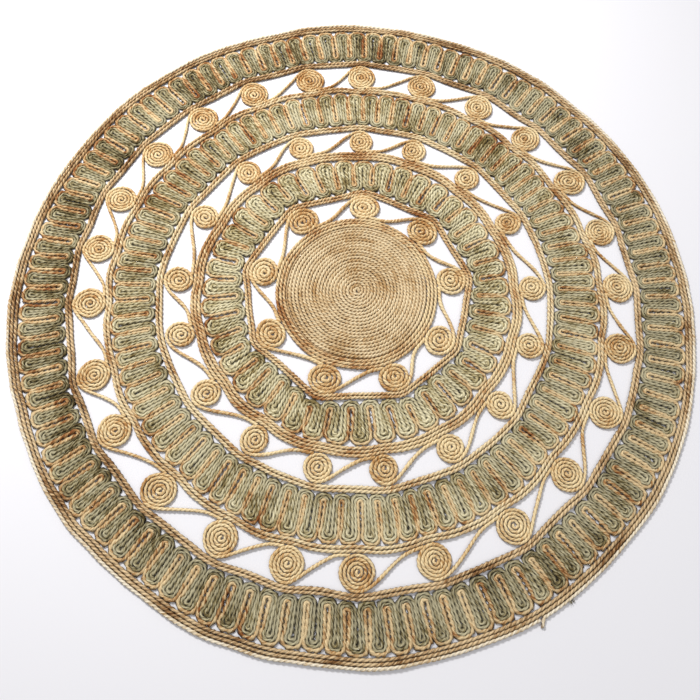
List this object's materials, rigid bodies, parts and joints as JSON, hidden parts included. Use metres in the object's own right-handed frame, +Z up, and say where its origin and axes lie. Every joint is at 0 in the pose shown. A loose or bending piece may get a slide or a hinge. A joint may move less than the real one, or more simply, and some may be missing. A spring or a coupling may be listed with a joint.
{
  "type": "area rug",
  "caption": "Round openwork area rug of twisted plant-fibre cords: rings of coiled rosettes between bands of folded sage and golden ribbons, around a coiled middle.",
  "frame": {"origin": "middle of the underside, on the floor", "axes": "+Z up from the floor through the rug's middle; +X to the right and +Y away from the viewer, with the loose cord end of the border at a bearing of 302 degrees"},
  "size_m": [1.7995, 1.7998, 0.0089],
  "materials": {
    "straw_cord": "matte",
    "brown_cord": "matte",
    "golden_cord": "matte",
    "rosette_cord": "matte",
    "sage_cord": "matte",
    "tan_cord": "matte",
    "sewing_thread": "matte"
  },
  "bodies": {
    "root": {"border_course_1": "golden_cord", "border_course_2": "golden_cord", "border_course_3": "golden_cord", "disc_core": "straw_cord", "disc_edge_course_1": "brown_cord", "disc_edge_course_2": "brown_cord", "disc_edge_course_3": "brown_cord", "first_ring_course_1": "golden_cord", "first_ring_course_2": "golden_cord", "fourth_ring_course_1": "golden_cord", "fourth_ring_course_2": "golden_cord", "fourth_ring_course_3": "golden_cord", "inner_ribbon_sage_strand_1": "sage_cord", "inner_ribbon_sage_strand_2": "sage_cord", "inner_ribbon_tan_strand": "tan_cord", "inner_ring_course_1": "brown_cord", "inner_ring_course_2": "brown_cord", "inner_rosette_1": "rosette_cord", "inner_rosette_2": "rosette_cord", "inner_rosette_3": "rosette_cord", "inner_rosette_4": "rosette_cord", "inner_rosette_5": "rosette_cord", "inner_rosette_6": "rosette_cord", "inner_rosette_7": "rosette_cord", "inner_rosette_8": "rosette_cord", "inner_rosette_9": "rosette_cord", "middle_ribbon_sage_strand_1": "sage_cord", "middle_ribbon_sage_strand_2": "sage_cord", "middle_ribbon_tan_strand": "tan_cord", "middle_rosette_1": "rosette_cord", "middle_rosette_10": "rosette_cord", "middle_rosette_11": "rosette_cord", "middle_rosette_12": "rosette_cord", "middle_rosette_13": "rosette_cord", "middle_rosette_14": "rosette_cord", "middle_rosette_15": "rosette_cord", "middle_rosette_16": "rosette_cord", "middle_rosette_17": "rosette_cord", "middle_rosette_2": "rosette_cord", "middle_rosette_3": "rosette_cord", "middle_rosette_4": "rosette_cord", "middle_rosette_5": "rosette_cord", "middle_rosette_6": "rosette_cord", "middle_rosette_7": "rosette_cord", "middle_rosette_8": "rosette_cord", "middle_rosette_9": "rosette_cord", "outer_ribbon_sage_strand_1": "sage_cord", "outer_ribbon_sage_strand_2": "sage_cord", "outer_ribbon_tan_strand": "tan_cord", "outer_rosettes_1": "rosette_cord", "outer_rosettes_2": "rosette_cord", "outer_rosettes_3": "rosette_cord", "outer_rosettes_4": "rosette_cord", "outer_rosettes_5": "rosette_cord", "second_ring_course_1": "golden_cord", "second_ring_course_2": "golden_cord", "sewing_thread": "sewing_thread", "third_ring_course_1": "golden_cord", "third_ring_course_2": "golden_cord"}
  },
  "joints": []
}
